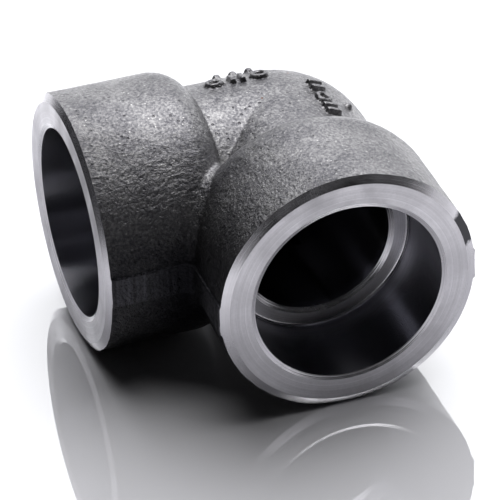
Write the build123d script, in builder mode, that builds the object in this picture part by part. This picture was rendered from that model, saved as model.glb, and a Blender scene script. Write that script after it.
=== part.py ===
from build123d import *
import math
import os

os.makedirs("parts", exist_ok=True)

# Socket weld elbow, 90 degrees, nominal size 1 inch, pressure class 3000.
# The two bore axes cross at the origin. One arm opens towards -Y, the other towards -X.
# The forging's parting plane is XY, and the elbow lies on its two collars with +Z up.

# Pipe side of each arm
socket_diameter = 34.1
flow_diameter = 27.2
centre_to_floor = 22.2
socket_depth = 16.4

# Forged collars, neck and crotch
collar_wall = 6.15
collar_length = 18.6
shoulder_radius = 6.6
neck_wall = 5.8
crotch_chamfer = 1.1
crotch_radius = 2.2

# Heel, the outer corner of the bend, and its fairings into the collars
heel_wall = 7.0
heel_round = 10.4
fairing_half_angle = 22.0
fairing_inset = 0.15

# Trimmed flash round the parting plane
band_proud = 0.25
band_above = 2.4
band_below = 3.4

# Turned ends and drilled bores
face_chamfer_width = 1.5
face_chamfer_depth = 0.7
lip_width = 0.8
lip_depth = 0.35
flow_edge_width = 0.9
flow_edge_depth = 0.5
drill_overrun = 3.6
drill_point_angle = 118.0

# Worked out from the dimensions above
socket_radius = socket_diameter / 2
flow_radius = flow_diameter / 2
collar_radius = socket_radius + collar_wall
neck_radius = flow_radius + neck_wall
heel_reach = flow_radius + heel_wall
centre_to_face = centre_to_floor + socket_depth
collar_start = centre_to_face - collar_length
shoulder_centre = collar_radius - shoulder_radius
heel_centre = heel_reach - heel_round
band_height = band_above + band_below
drill_point_length = flow_radius / math.tan(math.radians(drill_point_angle / 2))

# The fairing is a cone that touches the heel's ring all round and runs out inside the collar
fairing_angle = math.radians(fairing_half_angle)
fairing_rise = collar_radius - fairing_inset - heel_centre
fairing_chord = math.hypot(fairing_rise, collar_start)
fairing_slope = math.atan2(fairing_rise, collar_start) - math.asin(heel_round / fairing_chord)
fairing_tilt = fairing_angle - fairing_slope
fairing_overlap = heel_round * math.sin(fairing_angle)
fairing_reach = collar_start * math.cos(fairing_angle) - heel_round * math.sin(fairing_tilt)
fairing_length = fairing_reach / math.cos(fairing_slope) + fairing_overlap
fairing_small_radius = heel_round * math.cos(fairing_angle)
fairing_large_radius = fairing_small_radius + fairing_length * math.tan(fairing_angle)

# Half section of the arm that opens towards -Y: local X is the radius, local Y runs out of the socket
half_section = Plane(origin=(0, 0, 0), x_dir=(1, 0, 0), z_dir=(0, 0, -1))
# End of the heel's ring on the same arm: local Z is the axis of the fairing
fairing_plane = Plane(origin=(heel_centre, 0, 0), z_dir=(-math.sin(fairing_tilt), -math.cos(fairing_tilt), 0))
# The arm that opens towards -X is its mirror image
mitre_plane = Plane(origin=(0, 0, 0), x_dir=(0, 0, 1), z_dir=(1, -1, 0))


def on_mitre(edge):
    """Says whether an edge of the crotch lies in the mitre plane."""
    middle = edge.center()
    return abs(middle.X - middle.Y) < 0.01 and middle.X < 0


# Neck and collar of one arm: the collar ends in a rounded shoulder that meets the neck in a crease
with BuildPart() as forged_arm:
    with BuildSketch(half_section):
        Rectangle(neck_radius, centre_to_face, align=(Align.MIN, Align.MIN))
        with Locations((0, collar_start)):
            Rectangle(collar_radius, collar_length, align=(Align.MIN, Align.MIN))
        with Locations((shoulder_centre, collar_start)):
            Circle(shoulder_radius)
    revolve(axis=Axis.Y)

# Fairing of one arm: a tilted cone from the end of the heel's ring to the inside of the collar
with BuildPart(fairing_plane.offset(-fairing_overlap)) as heel_fairing:
    Cone(
        fairing_small_radius,
        fairing_large_radius,
        fairing_length,
        align=(Align.CENTER, Align.CENTER, Align.MIN),
    )

# Ring that carries the heel round the corner from one fairing to the other
with BuildPart() as heel_ring:
    with BuildSketch(Plane.XZ):
        with Locations((heel_centre, 0)):
            Circle(heel_round)
        split(bisect_by=Plane.YZ)
    revolve(axis=Axis.Z, revolution_arc=90)

# Trimmed flash: the outline of the elbow in its parting plane, a little proud of the forged skin
with BuildPart() as flash_band:
    with BuildSketch(Plane.XY.offset(-band_below)):
        with BuildLine():
            Polyline(
                (0, 0),
                (heel_reach + band_proud, 0),
                (collar_radius + band_proud, -collar_start),
                (collar_radius + band_proud, -centre_to_face),
                (-collar_radius - band_proud, -centre_to_face),
                (-collar_radius - band_proud, 0),
                close=True,
            )
        make_face()
        mirror(about=mitre_plane)
        Circle(heel_reach + band_proud)
        crotch = vertices().sort_by_distance((-collar_radius - band_proud, -collar_radius - band_proud))[0]
        fillet(crotch, crotch_radius)
    extrude(amount=band_height)

# Everything turned and drilled in one arm: face chamfer, lip, socket, floor and flow bore
with BuildPart() as machining:
    with BuildSketch(half_section):
        with BuildLine():
            Polyline(
                (0, centre_to_face),
                (socket_radius + lip_width, centre_to_face),
                (socket_radius, centre_to_face - lip_depth),
                (socket_radius, centre_to_floor),
                (flow_radius + flow_edge_width, centre_to_floor),
                (flow_radius, centre_to_floor - flow_edge_depth),
                (flow_radius, -drill_overrun),
                (0, -drill_overrun - drill_point_length),
                close=True,
            )
        make_face()
    revolve(axis=Axis.Y)
    with BuildSketch(half_section):
        with BuildLine():
            Polyline(
                (collar_radius - face_chamfer_width, centre_to_face),
                (collar_radius + face_chamfer_width, centre_to_face - 2 * face_chamfer_depth),
                (collar_radius + face_chamfer_width, centre_to_face),
                close=True,
            )
        make_face()
    revolve(axis=Axis.Y)

# The forging, then its machining
with BuildPart() as elbow_body:
    add(forged_arm.part)
    mirror(about=mitre_plane)
    mitre_edges = elbow_body.edges().filter_by(on_mitre).sort_by(Axis.X)
    collar_edges = mitre_edges[:-2]
    chamfer(collar_edges, crotch_chamfer)
    add(heel_fairing.part)
    mirror(heel_fairing.part, about=mitre_plane)
    add(heel_ring.part)
    Sphere(neck_radius)
    add(flash_band.part)
    add(machining.part, mode=Mode.SUBTRACT)
    mirror(machining.part, about=mitre_plane, mode=Mode.SUBTRACT)

elbow_body.part.label = "elbow_body"
export_step(elbow_body.part, "parts/elbow_body.step")
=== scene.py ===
"""Dresses a packed socket weld elbow: its forged skin, turned ends, bored sockets and a pale studio."""

import logging
import math
from dataclasses import dataclass, field
from enum import Enum

import bpy
from mathutils import Matrix, Vector, noise


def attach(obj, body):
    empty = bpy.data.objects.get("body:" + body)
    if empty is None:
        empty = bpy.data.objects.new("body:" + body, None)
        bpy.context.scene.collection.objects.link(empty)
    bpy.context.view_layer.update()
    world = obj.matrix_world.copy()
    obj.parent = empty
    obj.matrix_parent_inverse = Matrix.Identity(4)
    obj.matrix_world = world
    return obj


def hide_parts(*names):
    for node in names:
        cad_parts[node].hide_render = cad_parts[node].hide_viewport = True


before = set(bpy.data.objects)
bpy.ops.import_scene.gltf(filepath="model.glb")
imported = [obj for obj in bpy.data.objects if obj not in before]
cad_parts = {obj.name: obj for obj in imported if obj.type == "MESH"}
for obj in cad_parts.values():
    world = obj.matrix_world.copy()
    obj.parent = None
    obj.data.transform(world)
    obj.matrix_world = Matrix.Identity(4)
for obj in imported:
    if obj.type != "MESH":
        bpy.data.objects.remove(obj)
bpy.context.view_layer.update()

MM = 0.001
NODE = "elbow_body"
BODY = "root"
log = logging.getLogger("elbow")


class Arm(Enum):
    """The two arms of the elbow, each named for where its socket opens."""

    FRONT = "socket_front"
    LEFT = "socket_left"

    @property
    def outward(self) -> Vector:
        """Direction out of the arm's socket."""
        return Vector((0, -1, 0)) if self is Arm.FRONT else Vector((-1, 0, 0))

    @property
    def heelward(self) -> Vector:
        """Direction from the arm's axis to the heel's side."""
        return Vector((1, 0, 0)) if self is Arm.FRONT else Vector((0, 1, 0))

    @property
    def turn(self) -> Matrix:
        """Turns a tool made along +Z, out of the socket, to the arm's own direction."""
        return self.outward.to_track_quat("Z", "Y").to_matrix().to_4x4()


class Surface(Enum):
    """The surfaces that a lathe leaves in one end."""

    FACE = "face"
    EDGE = "edge"
    BORE = "bore"


class Mark(Enum):
    """The plain raised marks of a forging die."""

    RING = "ring"
    BARS = "bars"
    DOT = "dot"


class Bench:
    """Lays out and joins the nodes of one material."""

    def __init__(self, name: str) -> None:
        """Starts an empty material.

        Args:
            name: The material's name.
        """
        self.material = bpy.data.materials.new(name)
        self.material.use_nodes = True
        self.tree = self.material.node_tree
        self.shader = self.tree.nodes["Principled BSDF"]
        self.place = self.add("ShaderNodeTexCoord").outputs["Object"]

    def add(self, kind: str, **settings: object) -> bpy.types.Node:
        """Adds a node.

        Args:
            kind: Blender's name of the node's type.
            **settings: Properties of the node.

        Returns:
            The new node.
        """
        node = self.tree.nodes.new(kind)
        for key, value in settings.items():
            setattr(node, key, value)
        return node

    def put(self, socket: bpy.types.NodeSocket, value: object) -> None:
        """Links a socket into an input, or sets the input to a plain value."""
        if isinstance(value, bpy.types.NodeSocket):
            self.tree.links.new(value, socket)
        else:
            socket.default_value = value

    def math(self, operation: str, first: object, second: object = 0.0, third: object = 0.0) -> bpy.types.NodeSocket:
        """Adds a Math node.

        Args:
            operation: The node's operation.
            first: A socket or a number.
            second: A socket or a number.
            third: A socket or a number, where the operation takes one.

        Returns:
            The result's socket.
        """
        node = self.add("ShaderNodeMath", operation=operation)
        for socket, value in zip(node.inputs, (first, second, third)):
            self.put(socket, value)
        return node.outputs[0]

    def stretched(self, scale: tuple[float, float, float]) -> bpy.types.NodeSocket:
        """Returns the object's coordinates, scaled along each axis."""
        node = self.add("ShaderNodeMapping")
        self.put(node.inputs["Vector"], self.place)
        node.inputs["Scale"].default_value = scale
        return node.outputs["Vector"]

    def noise(self, scale: float, detail: float = 4.0, roughness: float = 0.55,
              vector: bpy.types.NodeSocket | None = None) -> bpy.types.NodeSocket:
        """Adds a noise texture.

        Args:
            scale: Cells in a metre.
            detail: Number of finer layers.
            roughness: Weight of the finer layers.
            vector: Coordinates, or None for the object's own.

        Returns:
            The texture's factor.
        """
        node = self.add("ShaderNodeTexNoise")
        self.put(node.inputs["Vector"], vector or self.place)
        for key, value in (("Scale", scale), ("Detail", detail), ("Roughness", roughness)):
            node.inputs[key].default_value = value
        return node.outputs["Fac"]

    def line_noise(self, position: bpy.types.NodeSocket, scale: float, detail: float = 3.0) -> bpy.types.NodeSocket:
        """Adds a noise that changes along one measure only, as the marks of a tool do.

        Args:
            position: The measure, in metres.
            scale: Cells in a metre.
            detail: Number of finer layers.

        Returns:
            The texture's factor.
        """
        node = self.add("ShaderNodeTexNoise", noise_dimensions="1D")
        self.put(node.inputs["W"], position)
        node.inputs["Scale"].default_value = scale
        node.inputs["Detail"].default_value = detail
        return node.outputs["Fac"]

    def ramp(self, factor: bpy.types.NodeSocket, stops: tuple[tuple[float, tuple[float, float, float]], ...]
             ) -> bpy.types.NodeSocket:
        """Adds a colour ramp.

        Args:
            factor: What the ramp reads.
            stops: Places and colours, in order.

        Returns:
            The ramp's colour.
        """
        node = self.add("ShaderNodeValToRGB")
        elements = node.color_ramp.elements
        while len(elements) < len(stops):
            elements.new(1.0)
        for element, (place, colour) in zip(elements, stops):
            element.position = place
            element.color = (*colour, 1.0)
        self.put(node.inputs["Fac"], factor)
        return node.outputs["Color"]

    def span(self, value: bpy.types.NodeSocket, low: float, high: float, start: float, end: float
             ) -> bpy.types.NodeSocket:
        """Maps a value from low..high to start..end, clamped and smooth."""
        node = self.add("ShaderNodeMapRange", interpolation_type="SMOOTHSTEP")
        for socket, number in zip(node.inputs, (value, low, high, start, end)):
            self.put(socket, number)
        return node.outputs["Result"]

    def blend(self, factor: object, first: object, second: object, mode: str = "MIX") -> bpy.types.NodeSocket:
        """Adds a colour mix.

        Args:
            factor: A socket or a number.
            first: The colour under the mix.
            second: The colour mixed in.
            mode: The node's blend type.

        Returns:
            The mixed colour.
        """
        node = self.add("ShaderNodeMix", data_type="RGBA", blend_type=mode)
        for key, value in ((0, factor), (6, first), (7, second)):
            self.put(node.inputs[key], value)
        return node.outputs[2]

    def bump(self, height: bpy.types.NodeSocket, distance: float, strength: float = 1.0,
             under: bpy.types.NodeSocket | None = None) -> bpy.types.NodeSocket:
        """Adds a bump.

        Args:
            height: What it raises.
            distance: Height of a full step, in metres.
            strength: Share of the bump that is used.
            under: Another bump's normal, or None.

        Returns:
            The bumped normal.
        """
        node = self.add("ShaderNodeBump")
        node.inputs["Strength"].default_value = strength
        node.inputs["Distance"].default_value = distance
        self.put(node.inputs["Height"], height)
        if under is not None:
            self.put(node.inputs["Normal"], under)
        return node.outputs["Normal"]


@dataclass(frozen=True)
class ForgedScale:
    """As-forged steel: dark scale, leathery and grainy, with pits, pale specks, a trace of rust, and painted shade
    between the collars, low on the inner sides, underneath and along the band's upper edge.
    """

    deep: tuple[float, float, float] = (0.065, 0.064, 0.074)
    plain: tuple[float, float, float] = (0.155, 0.152, 0.160)
    rubbed: tuple[float, float, float] = (0.28, 0.276, 0.278)
    speck: tuple[float, float, float] = (0.62, 0.61, 0.60)
    rust: tuple[float, float, float] = (0.16, 0.06, 0.025)
    sheared: tuple[float, float, float] = (0.36, 0.355, 0.40)
    patch_scale: float = 130.0
    grain_scale: float = 2100.0
    peel_scale: float = 900.0
    pit_scale: float = 1050.0
    pit_share: float = 0.20
    pit_radius: float = 0.30
    speck_scale: float = 1700.0
    speck_share: float = 0.05
    speck_radius: float = 0.30
    shear_scale: float = 1100.0
    grain_height: float = 0.10 * MM
    pit_height: float = 0.12 * MM
    shear_height: float = 0.10 * MM
    band_low: float = -3.4 * MM
    band_high: float = 2.4 * MM
    line_width: float = 0.45 * MM
    coarse_start: float = 29.0 * MM
    coarse_end: float = 48.0 * MM
    # Where shade is painted: the corner between the collars, the inner sides low down, and the underside.
    crotch_width: float = 30.0 * MM
    crotch_start: float = 24.0 * MM
    crotch_end: float = 44.0 * MM
    crotch_top: float = 20.0 * MM
    side_start: float = 36.0 * MM
    side_end: float = 50.0 * MM
    side_top: float = 25.0 * MM
    under_start: float = 8.0 * MM
    under_end: float = -15.0 * MM
    # Strength of the painted shade, and its near-black colour.
    shade: float = 0.96
    painted_shade: tuple[float, float, float] = (0.002, 0.002, 0.004)

    def cells(self, bench: Bench, scale: float, share: float, radius: float
              ) -> tuple[bpy.types.NodeSocket, bpy.types.NodeSocket]:
        """Scatters small round spots.

        Args:
            bench: The material's bench.
            scale: Cells in a metre.
            share: Share of the cells that hold a spot.
            radius: Radius of a spot, in cells.

        Returns:
            The spots' factor, and a chance number that is even within each cell.
        """
        texture = bench.add("ShaderNodeTexVoronoi")
        bench.put(texture.inputs["Vector"], bench.place)
        texture.inputs["Scale"].default_value = scale
        chance = bench.add("ShaderNodeSeparateColor")
        bench.put(chance.inputs["Color"], texture.outputs["Color"])
        chosen = bench.math("LESS_THAN", chance.outputs["Red"], share)
        spot = bench.span(texture.outputs["Distance"], 0.4 * radius, radius, 1.0, 0.0)
        return bench.math("MULTIPLY", spot, chosen), chance.outputs["Green"]

    def band(self, bench: Bench) -> bpy.types.NodeSocket:
        """Returns where the trimmed band runs round the elbow, as a socket."""
        split = bench.add("ShaderNodeSeparateXYZ")
        bench.put(split.inputs[0], bench.place)
        margin = 0.4 * MM
        above = bench.span(split.outputs["Z"], self.band_low - margin, self.band_low + margin, 0.0, 1.0)
        below = bench.span(split.outputs["Z"], self.band_high - margin, self.band_high + margin, 1.0, 0.0)
        return bench.math("MULTIPLY", above, below)

    def shear(self, bench: Bench) -> bpy.types.NodeSocket:
        """Returns the upright scratches that the trimming die leaves, as a socket."""
        split = bench.add("ShaderNodeSeparateXYZ")
        bench.put(split.inputs[0], bench.place)
        return bench.line_noise(bench.math("SUBTRACT", split.outputs["X"], split.outputs["Y"]), self.shear_scale, 4.0)

    def inward(self, bench: Bench) -> bpy.types.NodeSocket:
        """Returns how far a place lies towards the inside of the bend, as a socket."""
        split = bench.add("ShaderNodeSeparateXYZ")
        bench.put(split.inputs[0], bench.place)
        return bench.math("MULTIPLY", bench.math("ADD", split.outputs["X"], split.outputs["Y"]), -1.0)

    def painted_shade_mask(self, bench: Bench, grain: bpy.types.NodeSocket) -> bpy.types.NodeSocket:
        """Returns where shade is painted into the scale's colour.

        Args:
            bench: The material's bench.
            grain: The skin's grain, which makes the dark line ragged.

        Returns:
            The painted shade's factor: the corner between the collars, the inner sides low down, the underside, and a
            dark line along the band's upper edge.
        """
        split = bench.add("ShaderNodeSeparateXYZ")
        bench.put(split.inputs[0], bench.place)
        height = split.outputs["Z"]
        inward = self.inward(bench)
        apart = bench.math("ABSOLUTE", bench.math("SUBTRACT", split.outputs["X"], split.outputs["Y"]))
        # Painted shade in the corner between the collars and along the inner sides, low down.
        near = bench.span(apart, 0.0, self.crotch_width, 1.0, 0.0)
        inside = bench.span(inward, self.crotch_start, self.crotch_end, 0.0, 1.0)
        low = bench.span(height, 0.0, self.crotch_top, 1.0, 0.0)
        corner = bench.math("MULTIPLY", near, bench.math("MULTIPLY", inside, low))
        side = bench.math("MULTIPLY", bench.span(inward, self.side_start, self.side_end, 0.0, 0.80),
                          bench.span(height, 0.0, self.side_top, 1.0, 0.0))
        corner = bench.math("MAXIMUM", corner, side)
        # Painted shade on the underside, weaker on the bare band.
        under = bench.span(height, self.under_end, self.under_start, 0.85, 0.0)
        under = bench.math("MULTIPLY", under, bench.math("SUBTRACT", 1.0, bench.math("MULTIPLY", self.band(bench), 0.8)))
        # Painted shade: a thin ragged dark line along the band's upper edge, on the inner side.
        offset = bench.math("ABSOLUTE", bench.math("SUBTRACT", height, self.band_high))
        line = bench.span(offset, 0.4 * self.line_width, self.line_width, 1.0, 0.0)
        line = bench.math("MULTIPLY", line, bench.span(grain, 0.35, 0.55, 0.5, 1.0))
        line = bench.math("MULTIPLY", line, inside)
        return bench.math("MAXIMUM", line, bench.math("MAXIMUM", corner, under))

    def make(self) -> bpy.types.Material:
        """Builds the material.

        Returns:
            The finished material.
        """
        bench = Bench("forged_scale")
        patches = bench.noise(self.patch_scale, detail=6.0, roughness=0.7)
        grain = bench.noise(self.grain_scale, detail=5.0, roughness=0.7)
        peel = bench.noise(self.peel_scale, detail=3.0, roughness=0.6)
        tone = bench.math("ADD", bench.math("MULTIPLY", patches, 0.35), bench.math("MULTIPLY", grain, 0.65))
        colour = bench.ramp(tone, ((0.38, self.deep), (0.50, self.plain), (0.62, self.rubbed)))
        pits, chance = self.cells(bench, self.pit_scale, self.pit_share, self.pit_radius)
        colour = bench.blend(bench.math("MULTIPLY", pits, 0.6), colour, (*self.deep, 1.0))
        rusty = bench.math("MULTIPLY", pits, bench.math("GREATER_THAN", chance, 0.985))
        colour = bench.blend(rusty, colour, (*self.rust, 1.0))
        band, lines = self.band(bench), self.shear(bench)
        sheared = bench.math("MULTIPLY", band, bench.span(lines, 0.35, 0.65, 0.1, 0.9))
        colour = bench.blend(sheared, colour, (*self.sheared, 1.0))
        specks, _ = self.cells(bench, self.speck_scale, self.speck_share, self.speck_radius)
        colour = bench.blend(bench.math("MULTIPLY", specks, 0.7), colour, (*self.speck, 1.0))
        # Painted shade: the colour goes near-black where the mask is set, and the specular level drops there.
        painted_shade = bench.math("MULTIPLY", self.painted_shade_mask(bench, grain), self.shade)
        colour = bench.blend(painted_shade, colour, (*self.painted_shade, 1.0))
        bench.put(bench.shader.inputs["Base Color"], colour)
        bench.shader.inputs["Metallic"].default_value = 0.90
        bench.put(bench.shader.inputs["Roughness"], bench.span(grain, 0.3, 0.7, 0.44, 0.33))
        bench.put(bench.shader.inputs["Specular IOR Level"], bench.span(painted_shade, 0.0, 1.0, 0.5, 0.05))
        height = bench.math("ADD", grain, bench.math("MULTIPLY", peel, 1.8))
        coarse = bench.span(self.inward(bench), self.coarse_start, self.coarse_end, 0.7, 2.2)
        height = bench.math("MULTIPLY", height, coarse)
        normal = bench.bump(height, self.grain_height)
        normal = bench.bump(bench.math("MULTIPLY", pits, -1.0), self.pit_height, under=normal)
        scratches = bench.math("MULTIPLY", band, lines)
        bench.put(bench.shader.inputs["Normal"], bench.bump(scratches, self.shear_height, under=normal))
        return bench.material


@dataclass(frozen=True)
class MachinedSteel:
    """Bright steel with the rings that a lathe leaves round one arm's axis."""

    arm: Arm
    surface: Surface
    ring_scale: float = 5200.0
    speckle_scale: float = 2600.0
    # Where the painted shade deep in the bores begins along the axis, and its strength.
    deep_start: float = 22.0 * MM
    deep_end: float = 19.0 * MM
    deep_share: float = 0.85
    rough_radius: float = 20.0 * MM
    rough_start: float = 12.0
    rough_end: float = 29.0
    # Dark colour of the forged skin that a chamfer missed, also used for the painted shade deep in the bores.
    rough_skin_and_shade_colour: tuple[float, float, float] = (0.05, 0.05, 0.055)

    @property
    def colour(self) -> tuple[float, float, float]:
        """Colour of the bare steel; the bores' darker colour is painted shade inside the sockets."""
        return (0.36, 0.36, 0.40) if self.surface is Surface.BORE else (0.60, 0.59, 0.625)

    @property
    def ring_height(self) -> float:
        """Depth of the grooves; the chamfers show theirs."""
        return 0.030 * MM if self.surface is Surface.EDGE else 0.010 * MM

    @property
    def anisotropy(self) -> float:
        """How far the grooves draw a highlight out; the narrow chamfers were cut finer."""
        return {Surface.FACE: 0.85, Surface.EDGE: 0.40, Surface.BORE: 0.93}[self.surface]

    @property
    def roughness(self) -> float:
        """Roughness of the cut."""
        return {Surface.FACE: 0.38, Surface.EDGE: 0.22, Surface.BORE: 0.22}[self.surface]

    def radius(self, bench: Bench) -> bpy.types.NodeSocket:
        """Returns the distance from the arm's axis, as a socket."""
        split = bench.add("ShaderNodeSeparateXYZ")
        bench.put(split.inputs[0], bench.place)
        side = split.outputs["X" if self.arm is Arm.FRONT else "Y"]
        squares = bench.math("ADD", bench.math("MULTIPLY", side, side),
                             bench.math("MULTIPLY", split.outputs["Z"], split.outputs["Z"]))
        return bench.math("SQRT", squares)

    def around(self, bench: Bench) -> bpy.types.NodeSocket:
        """Returns the direction in which the tool's grooves run, as a socket."""
        cross = bench.add("ShaderNodeVectorMath", operation="CROSS_PRODUCT")
        bench.put(cross.inputs[0], bench.place)
        cross.inputs[1].default_value = self.arm.outward
        return cross.outputs["Vector"]

    def left_rough(self, bench: Bench) -> bpy.types.NodeSocket:
        """Returns where the chamfer's tool missed the forged skin on the heel side, as a socket."""
        split = bench.add("ShaderNodeSeparateXYZ")
        bench.put(split.inputs[0], bench.place)
        turn = bench.math("ARCTAN2", split.outputs["Z"], split.outputs["X"])
        ragged = bench.math("MULTIPLY", bench.math("SUBTRACT", bench.noise(900.0), 0.5), 0.12)
        turn = bench.math("ADD", turn, ragged)
        start, end, margin = math.radians(self.rough_start), math.radians(self.rough_end), math.radians(1.5)
        after = bench.span(turn, start - margin, start + margin, 0.0, 1.0)
        before = bench.span(turn, end - margin, end + margin, 1.0, 0.0)
        outside = bench.math("GREATER_THAN", self.radius(bench), self.rough_radius)
        return bench.math("MULTIPLY", outside, bench.math("MULTIPLY", after, before))

    def depth(self, bench: Bench) -> bpy.types.NodeSocket:
        """Returns the distance along the arm's axis, as a socket."""
        split = bench.add("ShaderNodeSeparateXYZ")
        bench.put(split.inputs[0], bench.place)
        return split.outputs["Y" if self.arm is Arm.FRONT else "X"]

    def make(self) -> bpy.types.Material:
        """Builds the material.

        Returns:
            The finished material.
        """
        bench = Bench(f"{self.surface.value}_{self.arm.name.lower()}")
        measure = self.depth(bench) if self.surface is Surface.BORE else self.radius(bench)
        coarse = bench.line_noise(measure, self.ring_scale / 4.0)
        fine = bench.line_noise(measure, self.ring_scale)
        haze = bench.noise(160.0, detail=6.0, roughness=0.6)
        rings = bench.math("ADD", bench.math("MULTIPLY", coarse, 0.3), bench.math("MULTIPLY", fine, 0.45))
        if self.surface is Surface.FACE:
            rings = bench.math("ADD", rings, bench.math("MULTIPLY", bench.noise(self.speckle_scale, 3.0), 0.25))
        else:
            rings = bench.math("ADD", rings, 0.125)
        dark = tuple(0.78 * channel for channel in self.colour)
        pale = tuple(1.18 * channel for channel in self.colour)
        colour = bench.ramp(rings, ((0.30, dark), (0.52, self.colour), (0.75, pale)))
        smudge = bench.span(haze, 0.35, 0.7, 0.0, 0.1 if self.surface is Surface.BORE else 0.5)
        colour = bench.blend(smudge, colour, (*dark, 1.0))
        # Painted shade: the bore goes near-black past the socket floor, down the flow bore.
        if self.surface is Surface.BORE:
            deep = bench.span(bench.math("ABSOLUTE", measure), self.deep_end, self.deep_start, self.deep_share, 0.0)
            colour = bench.blend(deep, colour, (*self.rough_skin_and_shade_colour, 1.0))
        if self.arm is Arm.FRONT and self.surface is Surface.EDGE:
            colour = bench.blend(self.left_rough(bench), colour, (*self.rough_skin_and_shade_colour, 1.0))
        bench.put(bench.shader.inputs["Base Color"], colour)
        bench.shader.inputs["Anisotropic"].default_value = self.anisotropy
        bench.shader.inputs["Anisotropic Rotation"].default_value = 0.25
        bench.put(bench.shader.inputs["Tangent"], self.around(bench))
        bench.shader.inputs["Metallic"].default_value = 1.0
        spread = 0.01 if self.surface is Surface.BORE else 0.06
        bench.put(bench.shader.inputs["Roughness"],
                  bench.span(haze, 0.3, 0.7, self.roughness - spread, self.roughness + spread))
        bench.put(bench.shader.inputs["Normal"], bench.bump(rings, self.ring_height))
        return bench.material


def only(piece: bpy.types.Object) -> bpy.types.Object:
    """Selects one object, alone, and makes it active."""
    bpy.ops.object.select_all(action="DESELECT")
    piece.select_set(True)
    bpy.context.view_layer.objects.active = piece
    return piece


def settle(piece: bpy.types.Object) -> None:
    """Applies a piece's place, turn and scale to its mesh."""
    only(piece)
    bpy.ops.object.transform_apply(location=True, rotation=True, scale=True)


@dataclass
class LatheTool:
    """What machining takes off one end: its face, chamfers, socket, floor and flow bore."""

    arm: Arm
    collar_radius: float = 23.2 * MM
    socket_radius: float = 17.05 * MM
    flow_radius: float = 13.6 * MM
    centre_to_face: float = 38.6 * MM
    centre_to_floor: float = 22.2 * MM
    chamfer_width: float = 1.5 * MM
    chamfer_depth: float = 0.7 * MM
    lip_width: float = 0.8 * MM
    lip_depth: float = 0.35 * MM
    floor_corner: float = 0.5 * MM
    flow_edge_width: float = 0.9 * MM
    flow_edge_depth: float = 0.5 * MM
    drill_overrun: float = 3.6 * MM
    drill_point_angle: float = 118.0
    clearance: float = 6.0 * MM
    steps: int = 192

    def outline(self) -> list[tuple[float, float]]:
        """Lists the tool's half section.

        Returns:
            Radius and distance from the centre of each corner.
        """
        face, floor = self.centre_to_face, self.centre_to_floor
        point = self.flow_radius / math.tan(math.radians(self.drill_point_angle / 2))
        corner = [
            (self.socket_radius - self.floor_corner * (1 - math.cos(turn)),
             floor + self.floor_corner * (1 - math.sin(turn)))
            for turn in (math.radians(22.5 * k) for k in range(4, -1, -1))
        ]
        slope = self.chamfer_depth / self.chamfer_width
        outside = self.collar_radius + self.clearance
        drop = slope * (self.chamfer_width + self.clearance)
        return [
            (0.0, -self.drill_overrun - point),
            (self.flow_radius, -self.drill_overrun),
            (self.flow_radius, floor - self.flow_edge_depth),
            (self.flow_radius + self.flow_edge_width, floor),
            *corner,
            (self.socket_radius, face - self.lip_depth),
            (self.socket_radius + self.lip_width, face),
            (self.collar_radius - self.chamfer_width, face),
            (outside, face - drop),
            (outside, face + self.clearance),
            (0.0, face + self.clearance),
        ]

    def build(self, finishes: dict[Surface, bpy.types.Material]) -> bpy.types.Object:
        """Turns the outline round the arm's axis.

        Args:
            finishes: The material that each surface leaves.

        Returns:
            The tool, as a closed mesh.
        """
        outline = self.outline()
        mesh = bpy.data.meshes.new(f"tool_{self.arm.name.lower()}")
        points = [(radius, 0.0, distance) for radius, distance in outline]
        mesh.from_pydata(points, [(k, k + 1) for k in range(len(points) - 1)], [])
        tool = bpy.data.objects.new(mesh.name, mesh)
        bpy.context.scene.collection.objects.link(tool)
        only(tool)
        bpy.ops.object.mode_set(mode="EDIT")
        bpy.ops.mesh.select_all(action="SELECT")
        bpy.ops.mesh.spin(steps=self.steps, angle=2 * math.pi, center=(0, 0, 0), axis=(0, 0, 1))
        bpy.ops.mesh.select_all(action="SELECT")
        bpy.ops.mesh.remove_doubles(threshold=0.002 * MM)
        bpy.ops.mesh.normals_make_consistent(inside=False)
        bpy.ops.object.mode_set(mode="OBJECT")
        order = list(finishes)
        for surface in order:
            mesh.materials.append(finishes[surface])
        for face in mesh.polygons:
            face.material_index = order.index(self.surface_at(face.center))
        tool.matrix_world = self.arm.turn
        settle(tool)
        return tool

    def surface_at(self, centre: Vector) -> Surface:
        """Names the surface of a face by its centre, before the tool is turned to its arm."""
        radius, distance = math.hypot(centre.x, centre.y), centre.z
        if radius > self.collar_radius - self.chamfer_width:
            return Surface.EDGE
        if distance > self.centre_to_face - self.lip_depth:
            return Surface.EDGE if radius < self.socket_radius + self.lip_width else Surface.FACE
        if distance < self.centre_to_floor - self.flow_edge_depth:
            return Surface.BORE
        if distance > self.centre_to_floor + self.floor_corner:
            return Surface.BORE
        on_floor = self.flow_radius + self.flow_edge_width < radius < self.socket_radius - self.floor_corner
        return Surface.FACE if on_floor else Surface.EDGE


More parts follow.
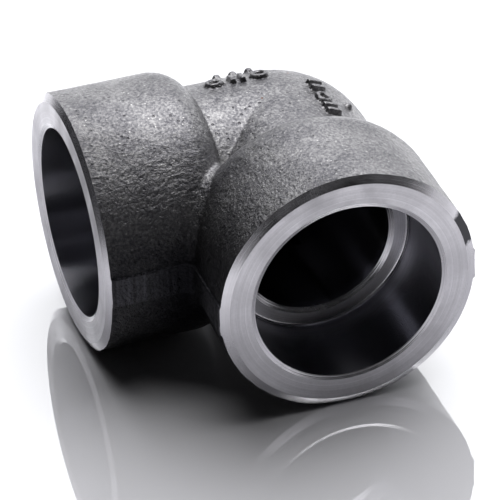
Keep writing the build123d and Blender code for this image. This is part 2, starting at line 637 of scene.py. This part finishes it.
@dataclass
class DieMarks:
    """Plain raised rings, bars and dots on top of the neck, where a forging carries its marks."""

    neck_radius: float = 19.4 * MM
    ring_radius: float = 1.25 * MM
    stroke: float = 0.50 * MM
    bar_length: float = 3.0 * MM
    bar_gap: float = 1.9 * MM
    dot_radius: float = 0.85 * MM
    rows: tuple[tuple[Arm, Mark, float, float], ...] = (
        (Arm.LEFT, Mark.RING, 9.0, 4.9), (Arm.LEFT, Mark.BARS, 4.8, 4.9), (Arm.LEFT, Mark.RING, 0.6, 4.9),
        (Arm.LEFT, Mark.DOT, 7.0, 9.6), (Arm.LEFT, Mark.DOT, 4.0, 9.6), (Arm.LEFT, Mark.DOT, 1.0, 9.6),
        (Arm.FRONT, Mark.BARS, 0.8, 7.9), (Arm.FRONT, Mark.RING, 4.9, 7.9), (Arm.FRONT, Mark.BARS, 9.0, 7.9),
        (Arm.FRONT, Mark.DOT, 5.0, 12.4),
    )

    def stand(self, arm: Arm, along: float, across: float) -> Matrix:
        """Places a mark on the neck.

        Args:
            arm: The arm whose neck carries the mark.
            along: Distance from the centre along the arm, in metres.
            across: Distance from the arm's axis towards the heel, in metres.

        Returns:
            A frame whose Z leaves the skin and whose X runs along the arm.
        """
        rise = math.sqrt(self.neck_radius**2 - across**2)
        outward, heelward = arm.outward, arm.heelward
        place = outward * along + heelward * across + Vector((0, 0, rise))
        normal = (heelward * across + Vector((0, 0, rise))).normalized()
        side = normal.cross(outward).normalized()
        turn = Matrix((outward, side, normal)).transposed().to_4x4()
        return Matrix.Translation(place) @ turn

    def bar(self, shift: float) -> bpy.types.Object:
        """Adds one rounded bar that lies across its frame's X."""
        bpy.ops.mesh.primitive_cube_add(size=1.0, location=(shift, 0, 0),
                                        scale=(2 * self.stroke, self.bar_length, 4 * self.stroke))
        bar = bpy.context.active_object
        settle(bar)
        bpy.ops.object.mode_set(mode="EDIT")
        bpy.ops.mesh.select_all(action="SELECT")
        bpy.ops.mesh.bevel(offset=0.5 * self.stroke, segments=3)
        bpy.ops.object.mode_set(mode="OBJECT")
        return bar

    def shapes(self, mark: Mark) -> list[bpy.types.Object]:
        """Adds the solids of one mark round the world's origin."""
        bpy.ops.object.select_all(action="DESELECT")
        if mark is Mark.RING:
            bpy.ops.mesh.primitive_torus_add(major_radius=self.ring_radius, minor_radius=self.stroke,
                                             major_segments=40, minor_segments=16,
                                             location=(0, 0, 0.6 * self.stroke))
            return [bpy.context.active_object]
        if mark is Mark.DOT:
            bpy.ops.mesh.primitive_uv_sphere_add(segments=24, ring_count=12, radius=self.dot_radius,
                                                 location=(0, 0, 0.1 * self.stroke))
            return [bpy.context.active_object]
        return [self.bar(shift) for shift in (-self.bar_gap / 2, self.bar_gap / 2)]

    def build(self) -> list[bpy.types.Object]:
        """Builds every mark in its place.

        Returns:
            The marks, as closed meshes sunk a little into the neck.
        """
        marks = []
        for arm, mark, along, across in self.rows:
            for piece in self.shapes(mark):
                settle(piece)
                piece.matrix_world = self.stand(arm, along * MM, across * MM)
                settle(piece)
                marks.append(piece)
        return marks


@dataclass
class ForgedBody:
    """The forging: its rough skin, raised marks and flash band, then its two machined ends."""

    collar_radius: float = 23.2 * MM
    centre_to_face: float = 38.6 * MM
    bore_plug_radius: float = 17.8 * MM
    bend_plug_radius: float = 17.5 * MM
    plug_start: float = -4.0 * MM
    end_plug_length: float = 4.0 * MM
    allowance: float = 1.6 * MM
    voxel: float = 0.39 * MM
    smoothing: int = 2
    lump_size: float = 5.5 * MM
    lump_height: float = 0.05 * MM
    peel_size: float = 1.15 * MM
    peel_height: float = 0.045 * MM
    peel_stretch: float = 0.6
    crisp_angle: float = 32.0
    tools: dict[Arm, LatheTool] = field(default_factory=lambda: {arm: LatheTool(arm) for arm in Arm})
    marks: DieMarks = field(default_factory=DieMarks)

    def stock(self) -> bpy.types.Object:
        """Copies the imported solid, and fills its bores and ends so that they can be cut afresh.

        Returns:
            The unmachined forging, as overlapping closed meshes.
        """
        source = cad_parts[NODE]
        body = bpy.data.objects.new("forged_body", source.data.copy())
        bpy.context.scene.collection.objects.link(body)
        body.data.materials.clear()
        only(body)
        bpy.ops.object.mode_set(mode="EDIT")
        bpy.ops.mesh.select_all(action="SELECT")
        bpy.ops.mesh.remove_doubles(threshold=0.001 * MM)
        bpy.ops.object.mode_set(mode="OBJECT")
        bpy.ops.mesh.customdata_custom_splitnormals_clear()
        end = self.centre_to_face + self.allowance
        plugs = ((self.bore_plug_radius, self.plug_start),
                 (self.collar_radius, self.centre_to_face - self.end_plug_length))
        parts = [body]
        for arm in Arm:
            for radius, start in plugs:
                bpy.ops.object.select_all(action="DESELECT")
                bpy.ops.mesh.primitive_cylinder_add(vertices=160, radius=radius, depth=end - start,
                                                    location=(0, 0, (end + start) / 2))
                plug = bpy.context.active_object
                settle(plug)
                plug.matrix_world = arm.turn
                settle(plug)
                parts.append(plug)
        bpy.ops.object.select_all(action="DESELECT")
        bpy.ops.mesh.primitive_uv_sphere_add(segments=64, ring_count=32, radius=self.bend_plug_radius)
        parts.append(bpy.context.active_object)
        parts.extend(self.marks.build())
        only(body)
        for part in parts:
            part.select_set(True)
        bpy.ops.object.join()
        return body

    def remesh(self, body: bpy.types.Object) -> None:
        """Fuses the stock to one even skin and softens its creases."""
        only(body)
        body.data.remesh_voxel_size = self.voxel
        body.data.remesh_voxel_adaptivity = 0.0
        bpy.ops.object.voxel_remesh()
        smooth = body.modifiers.new("soften", "SMOOTH")
        smooth.factor = 0.5
        smooth.iterations = self.smoothing
        bpy.ops.object.modifier_apply(modifier=smooth.name)

    def roughen(self, body: bpy.types.Object) -> None:
        """Moves the skin in and out by the lumps and the orange peel of a forging."""
        mesh = body.data
        normals = [vertex.normal.copy() for vertex in mesh.vertices]
        for vertex, normal in zip(mesh.vertices, normals):
            place = vertex.co
            lumps = noise.fractal(place / self.lump_size, 1.0, 2.0, 3)
            arm = Arm.FRONT if place.y < place.x else Arm.LEFT
            grain = Vector(place) / self.peel_size
            if arm is Arm.FRONT:
                grain.y *= self.peel_stretch
            else:
                grain.x *= self.peel_stretch
            peel = noise.fractal(grain, 0.8, 2.1, 3)
            vertex.co = place + normal * (self.lump_height * lumps + self.peel_height * peel)

    def machine(self, body: bpy.types.Object, finishes: dict[Arm, dict[Surface, bpy.types.Material]]) -> None:
        """Cuts both ends with their tools, which leave their own materials behind."""
        for arm, tool in self.tools.items():
            cutter = tool.build(finishes[arm])
            only(body)
            cut = body.modifiers.new("cut", "BOOLEAN")
            cut.operation = "DIFFERENCE"
            cut.solver = "EXACT"
            cut.material_mode = "TRANSFER"
            cut.object = cutter
            bpy.ops.object.modifier_apply(modifier=cut.name)
            bpy.data.objects.remove(cutter)

    def crisp(self, body: bpy.types.Object) -> None:
        """Smooths the skin, and keeps the borders between skin, faces, chamfers and bores crisp."""
        only(body)
        bpy.ops.object.shade_smooth_by_angle(angle=math.radians(self.crisp_angle))
        mesh = body.data
        owners: dict[tuple[int, int], int] = {}
        borders = set()
        for face in mesh.polygons:
            for key in face.edge_keys:
                if owners.setdefault(key, face.material_index) != face.material_index:
                    borders.add(key)
        for edge in mesh.edges:
            if edge.key in borders:
                edge.use_edge_sharp = True

    def build(self) -> bpy.types.Object:
        """Builds the whole piece and dresses it.

        Returns:
            The elbow's visible body.
        """
        body = self.stock()
        self.remesh(body)
        self.roughen(body)
        body.data.materials.append(ForgedScale().make())
        finishes = {arm: {surface: MachinedSteel(arm, surface).make() for surface in Surface} for arm in Arm}
        self.machine(body, finishes)
        self.crisp(body)
        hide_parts(NODE)
        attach(body, BODY)
        return body


@dataclass
class Studio:
    """Polished white floor with painted light in its reflections, one soft lamp, a bright wall behind the elbow and
    the camera.
    """

    floor_height: float = -23.2 * MM
    floor_size: float = 6.0
    floor_colour: tuple[float, float, float] = (0.94, 0.935, 0.975)
    # Dark colour that the floor shows only to glossy rays far to the left: painted shade in reflections.
    beyond_colour: tuple[float, float, float] = (0.06, 0.06, 0.065)
    floor_index: float = 3.9
    floor_roughness: float = 0.015
    # Painted light: the floor glows for glossy rays only, away from the elbow and not far to the left.
    floor_glow: float = 0.50
    glow_start: float = 55.0 * MM
    glow_end: float = 120.0 * MM
    glow_side_start: float = -135.0 * MM
    glow_side_end: float = -75.0 * MM
    wall_direction: tuple[float, float, float] = (0.42, 0.72, 0.50)
    wall_inner: float = 28.0
    wall_outer: float = 50.0
    wall_strength: float = 1.75
    room_strength: float = 0.015
    lamp_place: tuple[float, float, float] = (0.18, 0.24, 0.92)
    lamp_size: float = 0.90
    lamp_power: float = 9.0
    camera_place: tuple[float, float, float] = (-187.34 * MM, -555.73 * MM, 383.36 * MM)
    camera_target: tuple[float, float, float] = (-6.77 * MM, -5.285 * MM, -10.49 * MM)
    camera_roll: float = -2.065
    lens: float = 282.11
    sensor: float = 36.0

    def floor(self) -> bpy.types.Object:
        """Lays the floor.

        Returns:
            The floor.
        """
        bpy.ops.object.select_all(action="DESELECT")
        bpy.ops.mesh.primitive_plane_add(size=self.floor_size, location=(0, 0, self.floor_height))
        plane = bpy.context.active_object
        plane.name = "studio_floor"
        settle(plane)
        bench = Bench("studio_floor")
        bench.shader.inputs["Roughness"].default_value = self.floor_roughness
        bench.shader.inputs["IOR"].default_value = self.floor_index
        # Painted light in reflections: glossy rays see the floor glow beyond the contact area and see it dark far to
        # the left; camera rays see the plain floor.
        path = bench.add("ShaderNodeLightPath")
        reach = bench.add("ShaderNodeVectorMath", operation="LENGTH")
        bench.put(reach.inputs[0], bench.place)
        glow = bench.span(reach.outputs["Value"], self.glow_start, self.glow_end, 0.0, self.floor_glow)
        bench.shader.inputs["Emission Color"].default_value = (1.0, 1.0, 1.0, 1.0)
        split = bench.add("ShaderNodeSeparateXYZ")
        bench.put(split.inputs[0], bench.place)
        glow_side = bench.span(split.outputs["X"], self.glow_side_start, self.glow_side_end, 0.0, 1.0)
        mirrored = bench.math("MULTIPLY", path.outputs["Is Glossy Ray"], glow)
        bench.put(bench.shader.inputs["Emission Strength"], bench.math("MULTIPLY", mirrored, glow_side))
        beyond = bench.math("MULTIPLY", path.outputs["Is Glossy Ray"], bench.math("SUBTRACT", 1.0, glow_side))
        colour = bench.blend(beyond, (*self.floor_colour, 1.0), (*self.beyond_colour, 1.0))
        bench.put(bench.shader.inputs["Base Color"], colour)
        plane.data.materials.append(bench.material)
        return plane

    def world(self) -> None:
        """Leaves the room dim but for a bright wall behind the elbow, and shows white to the camera."""
        world = bpy.data.worlds.new("studio")
        bpy.context.scene.world = world
        world.use_nodes = True
        tree = world.node_tree
        tree.nodes.clear()
        heading = tree.nodes.new("ShaderNodeTexCoord")
        facing = tree.nodes.new("ShaderNodeVectorMath")
        facing.operation = "DOT_PRODUCT"
        facing.inputs[1].default_value = Vector(self.wall_direction).normalized()
        tree.links.new(heading.outputs["Generated"], facing.inputs[0])
        edge = tree.nodes.new("ShaderNodeMapRange")
        edge.interpolation_type = "SMOOTHSTEP"
        limits = (math.cos(math.radians(self.wall_outer)), math.cos(math.radians(self.wall_inner)))
        for socket, number in zip(edge.inputs[1:5], (*limits, self.room_strength, self.wall_strength)):
            socket.default_value = number
        tree.links.new(facing.outputs["Value"], edge.inputs[0])
        room = tree.nodes.new("ShaderNodeBackground")
        room.inputs["Color"].default_value = (0.97, 0.98, 1.0, 1.0)
        tree.links.new(edge.outputs["Result"], room.inputs["Strength"])
        seen = tree.nodes.new("ShaderNodeBackground")
        seen.inputs["Color"].default_value = (1.0, 1.0, 1.0, 1.0)
        path = tree.nodes.new("ShaderNodeLightPath")
        mix = tree.nodes.new("ShaderNodeMixShader")
        output = tree.nodes.new("ShaderNodeOutputWorld")
        tree.links.new(path.outputs["Is Camera Ray"], mix.inputs["Fac"])
        tree.links.new(room.outputs[0], mix.inputs[1])
        tree.links.new(seen.outputs[0], mix.inputs[2])
        tree.links.new(mix.outputs[0], output.inputs["Surface"])

    def lamp(self) -> bpy.types.Object:
        """Hangs the soft lamp above and a little behind the elbow.

        Returns:
            The lamp.
        """
        data = bpy.data.lights.new("top_lamp", "AREA")
        data.size = self.lamp_size
        data.energy = self.lamp_power
        lamp = bpy.data.objects.new("top_lamp", data)
        bpy.context.scene.collection.objects.link(lamp)
        lamp.location = self.lamp_place
        lamp.rotation_euler = (-Vector(self.lamp_place)).to_track_quat("-Z", "Y").to_euler()
        return lamp

    def camera(self) -> bpy.types.Object:
        """Sets up the camera where the photographer's stood.

        Returns:
            The camera.
        """
        data = bpy.data.cameras.new("camera")
        data.lens = self.lens
        data.sensor_width = self.sensor
        data.clip_start = 0.05
        camera = bpy.data.objects.new("camera", data)
        bpy.context.scene.collection.objects.link(camera)
        look = Vector(self.camera_target) - Vector(self.camera_place)
        roll = Matrix.Rotation(math.radians(self.camera_roll), 4, "Z")
        facing = look.to_track_quat("-Z", "Y").to_matrix().to_4x4() @ roll
        camera.matrix_world = Matrix.Translation(self.camera_place) @ facing
        bpy.context.scene.camera = camera
        return camera

    def build(self) -> None:
        """Sets the whole studio up."""
        bpy.context.scene.view_settings.view_transform = "Standard"
        self.camera()
        self.world()
        self.floor()
        self.lamp()


def main() -> None:
    """Builds the studio and the elbow, and reports each piece."""
    logging.basicConfig(level=logging.INFO, format="%(message)s")
    Studio().build()
    body = ForgedBody().build()
    body.data.calc_loop_triangles()
    log.info("%s has %d triangles", body.name, len(body.data.loop_triangles))


if __name__ == "__main__":
    main()
